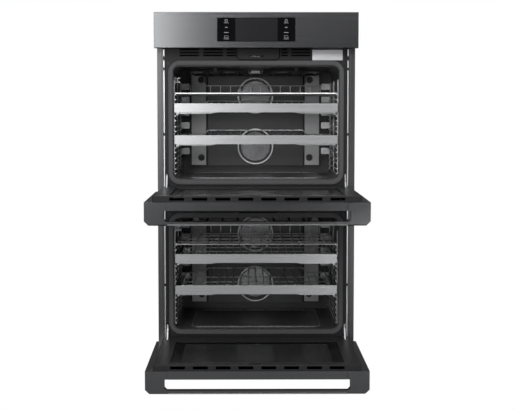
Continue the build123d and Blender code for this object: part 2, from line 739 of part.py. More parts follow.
def oven_nodes(oven, height, grid):
    """The moving pieces of one oven."""
    nodes = {
        f"{oven}_door_skin": swung_open(door_skin(), height),
        f"{oven}_door_glass": swung_open(door_glass(), height),
        f"{oven}_door_liner": swung_open(door_liner(), height),
        f"{oven}_door_inner_glass": swung_open(door_inner_glass(), height),
        f"{oven}_door_handle": swung_open(door_handle(), height),
        f"{oven}_door_hinges": swung_open(door_hinges(), height),
        f"{oven}_top_rack": up(plain_rack(), height),
        f"{oven}_latch": up(latch_hook(), height),
    }
    for rack, z in GLIDE_Z.items():
        nodes[f"{oven}_{rack}_rack"] = up(glide_rack(grid), height + z)
        nodes[f"{oven}_{rack}_slides"] = up(middle_slide(), height + z)
    for place, z in zip(("bottom", "top"), FAN_Z):
        nodes[f"{oven}_{place}_fan"] = [Pos(0, 0, height) * fan(z)]
    return nodes


def build():
    nodes = chassis_nodes()
    grid = glide_grid()
    for oven, height in OVENS.items():
        nodes.update(oven_nodes(oven, height, grid))
    for name, shapes in nodes.items():
        save(name, shapes)


build()
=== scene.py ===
import json
import math

import bmesh
import bpy
from mathutils import Matrix, Vector

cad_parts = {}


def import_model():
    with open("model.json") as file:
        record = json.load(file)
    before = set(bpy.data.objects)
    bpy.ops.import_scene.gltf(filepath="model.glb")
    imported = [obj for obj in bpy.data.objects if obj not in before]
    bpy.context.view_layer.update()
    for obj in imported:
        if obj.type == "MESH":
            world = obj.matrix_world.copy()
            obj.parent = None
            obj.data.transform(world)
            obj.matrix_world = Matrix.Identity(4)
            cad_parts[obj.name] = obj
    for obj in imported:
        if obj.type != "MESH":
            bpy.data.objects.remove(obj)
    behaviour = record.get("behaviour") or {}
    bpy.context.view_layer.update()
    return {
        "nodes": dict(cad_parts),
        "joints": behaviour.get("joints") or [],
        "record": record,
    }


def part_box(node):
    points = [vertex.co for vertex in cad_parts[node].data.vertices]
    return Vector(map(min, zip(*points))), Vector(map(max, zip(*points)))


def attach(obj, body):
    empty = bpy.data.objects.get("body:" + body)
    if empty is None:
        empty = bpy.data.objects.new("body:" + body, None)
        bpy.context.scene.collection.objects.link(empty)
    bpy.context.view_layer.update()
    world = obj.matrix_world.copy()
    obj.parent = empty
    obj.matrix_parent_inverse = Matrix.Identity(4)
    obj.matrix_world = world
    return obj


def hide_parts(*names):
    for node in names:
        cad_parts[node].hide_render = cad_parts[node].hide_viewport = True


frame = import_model()

NODES = frame["nodes"]
OVENS = ("upper", "lower")


# ---------------------------------------------------------------- materials

class Surface:
    """A procedural material, built up from the object's own coordinates in metres."""

    def __init__(self, name, colour, roughness, metallic=0.0, **sockets):
        self.material = bpy.data.materials.new(name)
        self.material.use_nodes = True
        self.nodes = self.material.node_tree.nodes
        self.links = self.material.node_tree.links
        self.shader = self.nodes["Principled BSDF"]
        self.shader.inputs["Base Color"].default_value = (*colour, 1)
        self.shader.inputs["Metallic"].default_value = metallic
        self.shader.inputs["Roughness"].default_value = roughness
        for socket, value in sockets.items():
            self.shader.inputs[socket.replace("_", " ")].default_value = value
        self.place = self.nodes.new("ShaderNodeTexCoord").outputs["Object"]

    def node(self, kind, **values):
        made = self.nodes.new(kind)
        for socket, value in values.items():
            made.inputs[socket].default_value = value
        return made

    def noise(self, scale, detail, stretch=(1, 1, 1)):
        """Noise. A stretch that differs between the axes draws it out into streaks."""
        mapping = self.node("ShaderNodeMapping", Scale=stretch)
        self.links.new(self.place, mapping.inputs["Vector"])
        made = self.node("ShaderNodeTexNoise", Scale=scale, Detail=detail)
        self.links.new(mapping.outputs["Vector"], made.inputs["Vector"])
        return made.outputs["Fac"]

    def cells(self, scale):
        made = self.node("ShaderNodeTexVoronoi", Scale=scale)
        self.links.new(self.place, made.inputs["Vector"])
        return made.outputs["Distance"]

    def wave(self, scale, axis):
        made = self.node("ShaderNodeTexWave", Scale=scale)
        made.bands_direction = axis
        self.links.new(self.place, made.inputs["Vector"])
        return made.outputs["Fac"]

    def ramp(self, factor, low, high, start=0.0, end=1.0):
        """A blend of two greys or colours along a factor."""
        made = self.node("ShaderNodeValToRGB")
        for element, value, position in zip(made.color_ramp.elements, (low, high), (start, end)):
            colour = value if hasattr(value, "__len__") else (value, value, value)
            element.color = (*colour, 1)
            element.position = position
        self.links.new(factor, made.inputs["Fac"])
        return made.outputs["Color"]

    def drive(self, socket, output):
        self.links.new(output, self.shader.inputs[socket])

    def bump(self, height, depth, strength):
        """Relief of a depth in metres."""
        made = self.node("ShaderNodeBump", Strength=strength, Distance=depth)
        self.links.new(height, made.inputs["Height"])
        self.links.new(made.outputs["Normal"], self.shader.inputs["Normal"])


def brushed(name, dark, light, stretch, roughness, depth):
    """Brushed metal: fine streaks along one axis in tone, roughness and relief."""
    made = Surface(name, dark, roughness, metallic=1.0)
    grain = made.noise(1.0, detail=3.0, stretch=stretch)
    made.drive("Base Color", made.ramp(grain, dark, light, start=0.3, end=0.7))
    made.drive("Roughness", made.ramp(grain, roughness * 0.8, roughness * 1.2, start=0.3, end=0.7))
    made.bump(grain, depth, strength=0.5)
    return made.material


# Dark and light tone, scale of the grain along X, Y and Z, roughness, and depth of the streaks.
# The lip is the one along the handles' bars, and the bead the one beside the oven fronts.
BRUSHED = {
    "graphite_steel": ((0.15, 0.152, 0.157), (0.165, 0.167, 0.172), (4, 2500, 2500), 0.2, 0.000006),
    "stainless": ((0.47, 0.475, 0.48), (0.51, 0.515, 0.52), (3, 2500, 2500), 0.3, 0.000004),
    "trim_metal": ((0.085, 0.085, 0.088), (0.11, 0.11, 0.113), (2500, 2500, 4), 0.3, 0.000006),
    "slide_steel": ((0.4, 0.4, 0.41), (0.55, 0.55, 0.56), (400, 10, 400), 0.28, 0.00003),
    "label_metal": ((0.36, 0.36, 0.37), (0.45, 0.45, 0.46), (30, 900, 900), 0.4, 0.00003),
    "bead_metal": ((0.5, 0.505, 0.51), (0.58, 0.585, 0.59), (2500, 2500, 4), 0.32, 0.000005),
    "lip_metal": ((0.15, 0.152, 0.156), (0.19, 0.192, 0.196), (4, 2500, 2500), 0.4, 0.000004),
}


def black_enamel():
    made = Surface("black_enamel", (0.02, 0.02, 0.021), roughness=0.32, IOR=1.45, Specular_IOR_Level=0.13)
    grain = made.noise(900, detail=2.0)
    made.drive("Roughness", made.ramp(grain, 0.24, 0.4, start=0.3, end=0.7))
    patches = made.noise(6, detail=3.0)
    made.drive("Base Color", made.ramp(patches, (0.018, 0.018, 0.019), (0.024, 0.024, 0.025)))
    made.bump(grain, depth=0.00004, strength=0.5)
    return made.material


def cavity_enamel():
    """Dark vitreous enamel with the fine pale speckle that oven cavities have."""
    made = Surface("cavity_enamel", (0.045, 0.045, 0.047), roughness=0.38, IOR=1.5)
    speckle = made.ramp(made.cells(900), (0.13, 0.13, 0.135), (0.045, 0.045, 0.047), start=0.1, end=0.3)
    made.drive("Base Color", speckle)
    made.drive("Roughness", made.ramp(made.noise(500, detail=2.0), 0.32, 0.46, start=0.3, end=0.7))
    made.bump(made.noise(300, detail=3.0), depth=0.00006, strength=0.6)
    return made.material


def chrome_wire():
    made = Surface("chrome_wire", (0.6, 0.6, 0.61), roughness=0.32, metallic=0.85)
    patches = made.noise(60, detail=4.0)
    made.drive("Roughness", made.ramp(patches, 0.26, 0.4, start=0.3, end=0.7))
    made.drive("Base Color", made.ramp(patches, (0.52, 0.52, 0.52), (0.66, 0.66, 0.67)))
    return made.material


def galvanised():
    """Zinc-coated sheet with its crystal spangle."""
    made = Surface("galvanised", (0.5, 0.51, 0.52), roughness=0.4, metallic=1.0)
    spangle = made.cells(60)
    made.drive("Base Color", made.ramp(spangle, (0.42, 0.43, 0.44), (0.6, 0.61, 0.62)))
    made.drive("Roughness", made.ramp(spangle, 0.3, 0.5))
    made.bump(made.noise(40, detail=3.0), depth=0.0002, strength=0.3)
    return made.material


def black_glass():
    made = Surface("black_glass", (0.002, 0.002, 0.0025), roughness=0.06, IOR=1.5)
    made.drive("Roughness", made.ramp(made.noise(8, detail=3.0), 0.04, 0.09))
    return made.material


def door_glass():
    made = Surface("door_glass", (0.012, 0.012, 0.013), roughness=0.24, IOR=1.52)
    made.drive("Roughness", made.ramp(made.noise(12, detail=4.0), 0.2, 0.28))
    return made.material


def gasket():
    """Woven glass-fibre sleeve."""
    made = Surface("gasket", (0.08, 0.08, 0.082), roughness=0.85)
    weave = made.cells(1400)
    made.drive("Base Color", made.ramp(weave, (0.11, 0.11, 0.112), (0.06, 0.06, 0.062), start=0.1, end=0.6))
    made.bump(weave, depth=0.0006, strength=0.6)
    return made.material


def insulation():
    made = Surface("insulation", (0.7, 0.62, 0.35), roughness=0.95)
    made.drive("Base Color", made.ramp(made.noise(90, detail=6.0), (0.6, 0.5, 0.25), (0.8, 0.74, 0.5)))
    made.bump(made.noise(200, detail=6.0), depth=0.003, strength=0.8)
    return made.material


def lamp_glass():
    made = Surface("lamp_glass", (0.08, 0.08, 0.08), roughness=0.15, IOR=1.47)
    ribs = made.wave(300, "X")
    made.drive("Base Color", made.ramp(ribs, (0.03, 0.03, 0.03), (0.12, 0.12, 0.12)))
    made.bump(ribs, depth=0.0008, strength=0.6)
    return made.material


def element_steel():
    made = Surface("element_steel", (0.05, 0.05, 0.052), roughness=0.5, metallic=0.6)
    scale = made.noise(70, detail=5.0)
    made.drive("Base Color", made.ramp(scale, (0.03, 0.03, 0.032), (0.09, 0.085, 0.08)))
    made.bump(made.noise(900, detail=2.0), depth=0.0001, strength=0.5)
    return made.material


def board():
    made = Surface("board", (0.02, 0.12, 0.06), roughness=0.4)
    made.drive("Base Color", made.ramp(made.cells(300), (0.01, 0.08, 0.04), (0.03, 0.18, 0.09)))
    return made.material


def motor():
    made = Surface("motor", (0.06, 0.06, 0.062), roughness=0.45, metallic=0.3)
    made.drive("Roughness", made.ramp(made.noise(80, detail=4.0), 0.35, 0.6))
    made.bump(made.noise(600, detail=2.0), depth=0.0001, strength=0.4)
    return made.material


def black_screw():
    made = Surface("black_screw", (0.012, 0.012, 0.013), roughness=0.35, metallic=0.5)
    made.drive("Roughness", made.ramp(made.noise(700, detail=3.0), 0.25, 0.5))
    return made.material


def screen():
    """Unlit display panel, a little paler than the glass round it."""
    made = Surface("screen", (0.006, 0.006, 0.006), roughness=0.2, IOR=1.4)
    grid = made.ramp(made.cells(2500), (0.012, 0.012, 0.013), (0.008, 0.008, 0.009), start=0.2, end=0.6)
    made.drive("Base Color", grid)
    return made.material


def print_white():
    made = Surface("print_white", (0.3, 0.3, 0.31), roughness=0.5)
    made.drive("Base Color", made.ramp(made.noise(900, detail=2.0), 0.24, 0.36, start=0.3, end=0.7))
    return made.material


def print_black():
    made = Surface("print_black", (0.002, 0.002, 0.002), roughness=0.4, Specular_IOR_Level=0.12)
    made.drive("Roughness", made.ramp(made.noise(500, detail=2.0), 0.32, 0.48))
    return made.material


def guard_wire():
    """Polished hoops and clips of the fan guards."""
    made = Surface("guard_wire", (0.85, 0.85, 0.86), roughness=0.42, metallic=0.85)
    patches = made.noise(200, detail=4.0)
    made.drive("Base Color", made.ramp(patches, (0.78, 0.78, 0.79), (0.92, 0.92, 0.93)))
    return made.material


def guard_mesh():
    """Grey wire of the mesh in the fan guards and of the rings round the lamps."""
    made = Surface("guard_mesh", (0.42, 0.42, 0.43), roughness=0.5, metallic=0.9)
    patches = made.noise(300, detail=4.0)
    made.drive("Base Color", made.ramp(patches, (0.3, 0.3, 0.31), (0.55, 0.55, 0.56)))
    return made.material


def wing_grey_and_light():
    """Grey enamel of the plates beside the fans, made paler: partly the plates' own grey, partly painted
    light on the cavity's rear wall.
    """
    made = Surface("wing_grey_and_light", (0.5, 0.5, 0.51), roughness=0.4, IOR=1.5)
    speckle = made.ramp(made.cells(900), (0.6, 0.6, 0.61), (0.48, 0.48, 0.49), start=0.1, end=0.3)
    made.drive("Base Color", speckle)
    made.bump(made.noise(300, detail=3.0), depth=0.00006, strength=0.6)
    return made.material


def rim_highlight_enamel():
    """Enamel paler than the cavity's, as a painted highlight along the rims of the floor trays, in patches
    along its length.
    """
    made = Surface("rim_highlight_enamel", (0.17, 0.17, 0.175), roughness=0.4, IOR=1.5)
    patchy_highlight = made.noise(90, detail=4.0)
    # The pale tone is a painted highlight, not the enamel's own colour.
    tone = made.ramp(patchy_highlight, (0.08, 0.08, 0.083), (0.26, 0.26, 0.265), start=0.35, end=0.65)
    made.drive("Base Color", tone)
    return made.material


def hook_steel():
    """Satin nickel of the hooks behind the rack slides."""
    made = Surface("hook_steel", (0.85, 0.85, 0.86), roughness=0.4, metallic=0.5)
    patches = made.noise(120, detail=4.0)
    made.drive("Base Color", made.ramp(patches, (0.78, 0.78, 0.79), (0.92, 0.92, 0.93)))
    return made.material


def felt():
    """Dull black of felt and bezels, also used as painted shade behind the vents and round the latch
    covers.
    """
    made = Surface("felt", (0.004, 0.004, 0.004), roughness=1.0, Specular_IOR_Level=0.0)
    nap = made.noise(1500, detail=4.0)
    made.drive("Base Color", made.ramp(nap, 0.002, 0.008))
    made.bump(nap, depth=0.0003, strength=0.5)
    return made.material


def make_finishes():
    """Every finish, by its name."""
    made = {name: brushed(name, *look) for name, look in BRUSHED.items()}
    for make in (black_enamel, cavity_enamel, chrome_wire, galvanised, black_glass, door_glass, gasket,
                 insulation, lamp_glass, element_steel, board, motor, black_screw, screen, print_white,
                 print_black, guard_wire, guard_mesh, wing_grey_and_light, felt, rim_highlight_enamel, hook_steel):
        made[make.__name__] = make()
    return made


def dress_nodes():
    """Give every CAD node the finish that its record slot names."""
    for part in frame["record"]["subparts"]:
        mesh = NODES[part["node"]].data
        mesh.materials.clear()
        mesh.materials.append(finishes[part["material_slot"]])


# ---------------------------------------------------------------- ways to make a piece

def finish_piece(piece, body, finish):
    piece.data.materials.append(finishes[finish])
    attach(piece, body)


def mesh_object(name, mesh):
    thing = bpy.data.objects.new(name, mesh)
    bpy.context.scene.collection.objects.link(thing)
    return thing


def move(thing, x=0.0, y=0.0, z=0.0):
    """Move a thing's mesh, and leave its origin where the frame's is."""
    thing.data.transform(Matrix.Translation((x, y, z)))


def add_line(curve, places, closed):
    line = curve.splines.new("POLY")
    line.points.add(len(places) - 1)
    for point, place in zip(line.points, places):
        point.co = (*place, 1)
    line.use_cyclic_u = closed


def curve_mesh(name, curve):
    """The mesh that a curve's width and bevel give it."""
    shown = bpy.data.objects.new(name + "_curve", curve)
    bpy.context.scene.collection.objects.link(shown)
    bpy.context.view_layer.update()
    mesh = bpy.data.meshes.new_from_object(shown)
    bpy.data.objects.remove(shown)
    mesh.name = name
    return mesh


def cut_sheet(name, outlines, thickness, edge=0.0):
    """A thin sheet in X and Z, centred on y = 0. Outlines inside other outlines are holes."""
    curve = bpy.data.curves.new(name, "CURVE")
    curve.dimensions = "2D"
    curve.fill_mode = "BOTH"
    curve.extrude = thickness / 2 - edge
    curve.bevel_depth = edge
    for outline in outlines:
        add_line(curve, [(x, z, 0) for x, z in outline], True)
    mesh = curve_mesh(name, curve)
    mesh.transform(Matrix.Rotation(math.radians(90), 4, "X"))
    return mesh_object(name, mesh)


def wires(name, runs, radius, sides=6):
    """Round wires as one mesh, each along its own list of places, closed or open."""
    curve = bpy.data.curves.new(name, "CURVE")
    curve.dimensions = "3D"
    curve.bevel_depth = radius
    curve.bevel_resolution = max(0, sides // 2 - 2)
    curve.use_fill_caps = True
    for places, closed in runs:
        add_line(curve, places, closed)
    mesh = curve_mesh(name, curve)
    for face in mesh.polygons:
        face.use_smooth = True
    return mesh_object(name, mesh)


def loft(name, rings, tip=None, smooth=False):
    """A closed shape through rings of places. It starts at a tip, or else at a flat end."""
    made = bmesh.new()
    loops = [[made.verts.new(place) for place in ring] for ring in rings]
    for inner, outer in zip(loops, loops[1:]):
        for number in range(len(inner)):
            after = (number + 1) % len(inner)
            made.faces.new((inner[number], outer[number], outer[after], inner[after]))
    if tip is None:
        made.faces.new(loops[0])
    else:
        point = made.verts.new(tip)
        for number, corner in enumerate(loops[0]):
            made.faces.new((point, corner, loops[0][(number + 1) % len(loops[0])]))
    made.faces.new(loops[-1])
    bmesh.ops.recalc_face_normals(made, faces=made.faces)
    mesh = bpy.data.meshes.new(name)
    made.to_mesh(mesh)
    made.free()
    for face in mesh.polygons:
        face.use_smooth = smooth
    return mesh_object(name, mesh)


def arc(x, z, radius, first, last, steps=16):
    turns = [math.radians(first + (last - first) * step / steps) for step in range(steps + 1)]
    return [(x + radius * math.cos(turn), z + radius * math.sin(turn)) for turn in turns]


def circle(x, z, radius, steps=32):
    turns = [2 * math.pi * step / steps for step in range(steps)]
    return [(x + radius * math.cos(turn), z + radius * math.sin(turn)) for turn in turns]


def rounded(x, z, corner, steps=6):
    """Outline of a rectangle with rounded corners."""
    left, right, low, high = x[0] + corner, x[1] - corner, z[0] + corner, z[1] - corner
    return (arc(right, high, corner, 0, 90, steps) + arc(left, high, corner, 90, 180, steps)
            + arc(left, low, corner, 180, 270, steps) + arc(right, low, corner, 270, 360, steps))


def turned_shape(name, profile, steps=32):
    """A body of revolution about Y, from (radius, y) points, closed on the axis at its first point."""
    rings = [[(x, y, z) for x, z in circle(0, 0, radius, steps)] for radius, y in profile[1:]]
    return loft(name, rings, tip=(0, profile[0][1], 0), smooth=True)


def merge(name, things):
    """Several mesh objects joined into one piece."""
    whole = bmesh.new()
    for thing in things:
        whole.from_mesh(thing.data)
        bpy.data.objects.remove(thing)
    mesh = bpy.data.meshes.new(name)
    whole.to_mesh(mesh)
    whole.free()
    return mesh_object(name, mesh)


# ---------------------------------------------------------------- where things are, in metres

JOINTS = {joint["name"]: joint for joint in frame["joints"]}
PIVOT_UP = 0.028                    # door pivot above the closed door's bottom edge
DOOR_HEIGHT = 0.562
LINER_Y = -0.008                    # inner face of a closed door
WINDOW_Y = -0.014                   # inner face of its window
HANDLE_Y = -0.1075                  # front of its handle


def joint_place(name):
    return Vector(JOINTS[name]["pos_m"])


# Height of each closed door's bottom edge. Heights called "up" count from it.
LOW = {oven: joint_place(f"{oven}_door_hinge").z - PIVOT_UP for oven in OVENS}


def open_door(thing, oven):
    """Turn a piece drawn on the closed door down to where the door rests."""
    pivot = joint_place(f"{oven}_door_hinge")
    quarter_turn = Matrix.Rotation(math.radians(90), 4, "X")
    thing.data.transform(Matrix.Translation(pivot) @ quarter_turn @ Matrix.Translation(-pivot))


# ---------------------------------------------------------------- control panel

INK = 0.00006                       # thickness of the screen and the marks on the glass
SCREEN_X = (-0.077, 0.079)
SCREEN_Z = (1.216, 1.2995)
MARKS_X = 0.111                     # columns of marks, left and right of the screen
# Middles of the marks. The ring and the frame have a bar under them.
RING_Z = 1.2904
DOT_Z = 1.2658
DASH_Z = 1.247
FRAME_Z = 1.2313


def bar_mark(x, z, half_width, half_height, corner, steps=2):
    """Outline of a flat mark round its middle."""
    return rounded((x - half_width, x + half_width), (z - half_height, z + half_height), corner, steps)


def touch_marks():
    """Screen and columns of plain touch marks, printed on the display glass."""
    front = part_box("control_glass")[0].y
    panel = cut_sheet("display_screen", [rounded(SCREEN_X, SCREEN_Z, 0.001)], INK)
    move(panel, y=front - INK / 2)
    finish_piece(panel, "chassis", "screen")
    marks = []
    for x in (-MARKS_X, MARKS_X):
        marks += [
            [circle(x, RING_Z, 0.0052), circle(x, RING_Z, 0.0041)],
            [bar_mark(x, RING_Z - 0.0079, 0.0085, 0.0006, 0.0003)],
            [bar_mark(x, DOT_Z, 0.0045, 0.0011, 0.0005)],
            [bar_mark(x, DASH_Z, 0.0085, 0.0009, 0.0005)],
            [bar_mark(x, FRAME_Z, 0.0075, 0.004, 0.0016, 4),
             bar_mark(x, FRAME_Z, 0.0066, 0.0031, 0.0011, 4)],
            [bar_mark(x, FRAME_Z - 0.0078, 0.0095, 0.0007, 0.0004)],
        ]
    printed = merge("touch_marks", [cut_sheet("mark", outlines, INK) for outlines in marks])
    move(printed, y=front - INK / 2)
    finish_piece(printed, "chassis", "print_white")


# ---------------------------------------------------------------- fans and lamps

GUARD_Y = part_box("fan_guards")[0].y + 0.004      # middle of the guards' wires
HOOP_RADIUS = 0.071
HOOP_WIRE = 0.0036
MESH_RADIUS = 0.0695
MESH_PITCH = 0.005
MESH_WIRE = 0.00038
MESH_CROSSING = 0.0006              # each layer of the mesh from its middle
CLIP_SPAN = (0.066, 0.0745)         # a clip's ends from the fan's axis
CLIP_OUT = 0.0034                   # clips in front of the hoop's middle
CLIP_WIRE = 0.0011
CLIP_TURNS = (90, 210, 330)

WING_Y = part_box("fan_baffles")[0].y + 0.014      # front of the baffles' flat wings
WING_PLATE = 0.0006
WING_SIDES = (0.2045, 0.2635)
WING_LOW = 0.1145
WING_TOP = [(0.2635, 0.4985), (0.2535, 0.4975), (0.231, 0.4872)]
WING_SHOULDER = 0.451               # where the inner side ends, below the upper lamp

LAMP_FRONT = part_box("cavity_lamps")[0].y
LAMP_X = 0.224
LAMP_UPS = (0.145, 0.466)
LAMP_HOLE = 0.0155
LAMP_RING = 0.0142
LAMP_RING_BACK = 0.0035             # behind the lamp's front
LAMP_RING_WIRE = 0.0011
# The ribbed dome, as radius and distance behind the lamp's front.
LAMP_DOME = [(0, 0.0004), (0.004, 0.0006), (0.005, 0.0014), (0.006, 0.0008), (0.009, 0.0014),
             (0.010, 0.0022), (0.011, 0.0018), (0.0125, 0.003), (0.0135, 0.006), (0.0135, 0.020)]


def mesh_runs(z):
    """Straight wires that cross inside a guard's hoop."""
    runs = []
    steps = 16
    for number in range(-13, 14):
        across = MESH_PITCH * number
        half = math.sqrt(MESH_RADIUS ** 2 - across ** 2)
        along = [-half + 2 * half * step / steps for step in range(steps + 1)]
        runs.append(([(across, GUARD_Y - MESH_CROSSING, z + up) for up in along], False))
        runs.append(([(x, GUARD_Y + MESH_CROSSING, z + across) for x in along], False))
    return runs


def fan_guards():
    """Each fan's round guard: a polished hoop over wire mesh, with three clips."""
    guards = []
    meshes = []
    for oven in OVENS:
        for row in ("bottom", "top"):
            z = joint_place(f"{oven}_{row}_fan_spin").z
            hoop = [(x, GUARD_Y, z + up) for x, up in circle(0, 0, HOOP_RADIUS, 72)]
            guards.append(wires("hoop", [(hoop, True)], HOOP_WIRE, 10))
            meshes.append(wires("mesh", mesh_runs(z), MESH_WIRE, 4))
            clips = []
            for turn in CLIP_TURNS:
                x, up = math.cos(math.radians(turn)), math.sin(math.radians(turn))
                clip = [(reach * x, GUARD_Y - CLIP_OUT, z + reach * up) for reach in CLIP_SPAN]
                clips.append((clip, False))
            guards.append(wires("clips", clips, CLIP_WIRE))
    guard = merge("fan_guard_hoops", guards)
    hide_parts("fan_guards")
    finish_piece(guard, "chassis", "guard_wire")
    finish_piece(merge("fan_guard_mesh", meshes), "chassis", "guard_mesh")


def wing_plates():
    """Cover plates on the baffles' wings, cut round the lamps, in pale grey enamel that is partly painted
    light on the rear wall.
    """
    inner, outer = WING_SIDES
    notch = arc(LAMP_X, LAMP_UPS[1], LAMP_HOLE, 75, -140)
    outline = [(inner, WING_LOW), (outer, WING_LOW)] + WING_TOP + notch + [(inner, WING_SHOULDER)]
    plates = []
    for oven in OVENS:
        low = LOW[oven]
        for side in (-1, 1):
            edge = [(side * x, low + up) for x, up in outline]
            hole = circle(side * LAMP_X, low + LAMP_UPS[0], LAMP_HOLE)
            plates.append(cut_sheet("wing", [edge, hole], WING_PLATE, 0.0001))
    plate = merge("baffle_wing_plates", plates)
    move(plate, y=WING_Y - 0.0004)
    # Pale grey: partly the plates' own grey, partly painted light on the rear wall.
    finish_piece(plate, "chassis", "wing_grey_and_light")


def lamp_fronts():
    """Each lamp's ribbed glass dome, and the wire ring that holds it."""
    lenses = []
    rings = []
    dome = [(radius, LAMP_FRONT + back) for radius, back in LAMP_DOME]
    ring_run = [(x, LAMP_FRONT + LAMP_RING_BACK, z) for x, z in circle(0, 0, LAMP_RING, 40)]
    for oven in OVENS:
        for up in LAMP_UPS:
            for side in (-1, 1):
                lens = turned_shape("lens", dome)
                ring = wires("ring", [(ring_run, True)], LAMP_RING_WIRE, 8)
                for thing in (lens, ring):
                    move(thing, x=side * LAMP_X, z=LOW[oven] + up)
                lenses.append(lens)
                rings.append(ring)
    lens = merge("lamp_lenses", lenses)
    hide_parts("cavity_lamps")
    finish_piece(lens, "chassis", "lamp_glass")
    finish_piece(merge("lamp_rings", rings), "chassis", "guard_mesh")


# ---------------------------------------------------------------- cavities

TRAY_UP = 0.0835                    # rim of the raised tray in the cavity floor
TRAY_X = (-0.2475, 0.2475)
TRAY_Y = (0.0375, 0.4425)
TRAY_CORNER = 0.0275
TRAY_RIM = 0.0019

BROIL_Y = 0.3885                    # the broil element's middle hanger
BROIL_UP = 0.4895
# One side of the hanger's wire, from the middle of the clip.
BROIL_WIRE = [(0.0275, 0, 0.015), (0.0275, 0, 0.002), (0.0225, -0.0005, -0.0005), (0.0175, 0, 0.002),
              (0.0175, 0, 0.010)]
BROIL_PLATE_X = (-0.0165, 0.0165)
BROIL_PLATE_UPS = (0.001, 0.011)

HOOK_Y = 0.4718
HOOK_UP = 0.160                     # bottom of the lowest hook
HOOK_PITCH = 0.053
HOOK_UPS = (0.0005, 0.0235)
HOOK_THICK = 0.004
HOOK_SLOT_UPS = (0.006, 0.017)
HOOK_SLOT_HALF = 0.0025
WIDE_HOOK = (0.2735, 0.2965)
THIN_HOOK = (0.2985, 0.3055)


def floor_rims():
    """Rim round the raised tray in each cavity floor, in paler enamel that is a painted highlight along its
    edge.
    """
    rims = []
    for oven in OVENS:
        z = LOW[oven] + TRAY_UP
        run = [(x, y, z) for x, y in rounded(TRAY_X, TRAY_Y, TRAY_CORNER, 8)]
        rims.append(wires("rim", [(run, True)], TRAY_RIM, 8))
    # Paler enamel: a painted highlight along each tray's edge.
    finish_piece(merge("floor_rims", rims), "chassis", "rim_highlight_enamel")


def broil_clips():
    """Bright bracket that holds the broil element up at the middle of its back."""
    clips = []
    for oven in OVENS:
        z = LOW[oven] + BROIL_UP
        runs = []
        for side in (-1, 1):
            runs.append(([(side * x, BROIL_Y + y, z + up) for x, y, up in BROIL_WIRE], False))
        clips.append(wires("clip_wire", runs, 0.0013))
        plate = rounded(BROIL_PLATE_X, [z + up for up in BROIL_PLATE_UPS], 0.002)
        sheet = cut_sheet("clip_plate", [plate], 0.0012, 0.0003)
        move(sheet, y=BROIL_Y)
        clips.append(sheet)
    finish_piece(merge("broil_clips", clips), "chassis", "stainless")


def slide_hooks():
    """Pairs of rounded hooks at the back of the cavities that hold the ladders' rear ends."""
    hooks = []
    for oven in OVENS:
        for step in range(6):
            z = LOW[oven] + HOOK_UP + HOOK_PITCH * step
            for side in (-1, 1):
                for span in (WIDE_HOOK, THIN_HOOK):
                    x = sorted((side * span[0], side * span[1]))
                    outlines = [rounded(x, [z + up for up in HOOK_UPS], 0.003, 4)]
                    if span == WIDE_HOOK:
                        middle = sum(x) / 2
                        slot = (middle - HOOK_SLOT_HALF, middle + HOOK_SLOT_HALF)
                        outlines.append(rounded(slot, [z + up for up in HOOK_SLOT_UPS], 0.0024, 4))
                    hook = cut_sheet("hook", outlines, HOOK_THICK, 0.0018)
                    move(hook, y=HOOK_Y)
                    hooks.append(hook)
    hook = merge("slide_hooks", hooks)
    finish_piece(hook, "chassis", "hook_steel")


# ---------------------------------------------------------------- fronts

VENT_SPANS = ((-0.295, -0.070), (0.088, 0.210))
VENT_UPS = (0.541, 0.574)
# Black sheet of painted shade behind the vents.
VENT_SHADE_Y = 0.003
VENT_SHADE_THICK = 0.001

SCREW_UPS = (0.250, 0.495)          # trim screws
SCREW_GAP = 0.005                   # a bead stops this far from a screw's middle
MOUNT_X = 0.3645                    # cabinet screws
MOUNT_ZS = (0.06, 1.18)
SCREW_HEAD = 0.0038
# The screw under its head, as radius and distance behind the trim's front.
SCREW_BODY = [(0, -0.0008), (0.0034, -0.0008), (0.0034, -0.0001), (0.0023, 0), (0.0023, 0.0055)]
BEAD_BREAK = (1.145, 1.163)         # no bead here, round the slot in each trim
BEAD_X = 0.3455
BEAD_SECTION = [(0.3426, -0.0034), (0.3434, -0.0042), (0.3455, -0.0044),
                (0.3476, -0.0042), (0.3484, -0.0034)]
BEAD_TAPER = 0.002                  # length over which a bead thins to its end
BEAD_END = 0.6                      # size of the end

TAB_SPAN = (0.352, 0.3712)
TAB_HEIGHT = 0.018
TAB_THICK = 0.0016

# Top of each latch cover, and the line down its sides and along its bottom, measured from the top.
COVER_UPS = {"upper": 0.570, "lower": 0.566}
COVER_LINE = [(-0.0718, 0.0), (-0.0718, -0.030), (-0.0610, -0.0408),
              (0.0760, -0.0408), (0.0868, -0.030), (0.0868, 0.0)]
COVER_Y = -0.0052
# Radius of the black line of painted shade round each cover.
COVER_SHADE_WIRE = 0.0019


def vent_shade_sheets():
    """Black sheet behind the vents in the front frames: painted shade standing in for the dark space behind
    them.
    """
    strips = []
    for oven in OVENS:
        ups = [LOW[oven] + up for up in VENT_UPS]
        for span in VENT_SPANS:
            strips.append(cut_sheet("shade_sheet", [rounded(span, ups, 0.002)], VENT_SHADE_THICK))
    shade_sheet = merge("vent_shade_sheets", strips)
    move(shade_sheet, y=VENT_SHADE_Y)
    finish_piece(shade_sheet, "chassis", "felt")


def bead_spans():
    """Lengths of a trim's bead, from low to high."""
    low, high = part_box("side_trims")
    stops = [low.z + 0.002]
    for oven in ("lower", "upper"):
        for up in SCREW_UPS:
            stops += [LOW[oven] + up - SCREW_GAP, LOW[oven] + up + SCREW_GAP]
    stops += [*BEAD_BREAK, high.z - 0.002]
    return zip(stops[::2], stops[1::2])


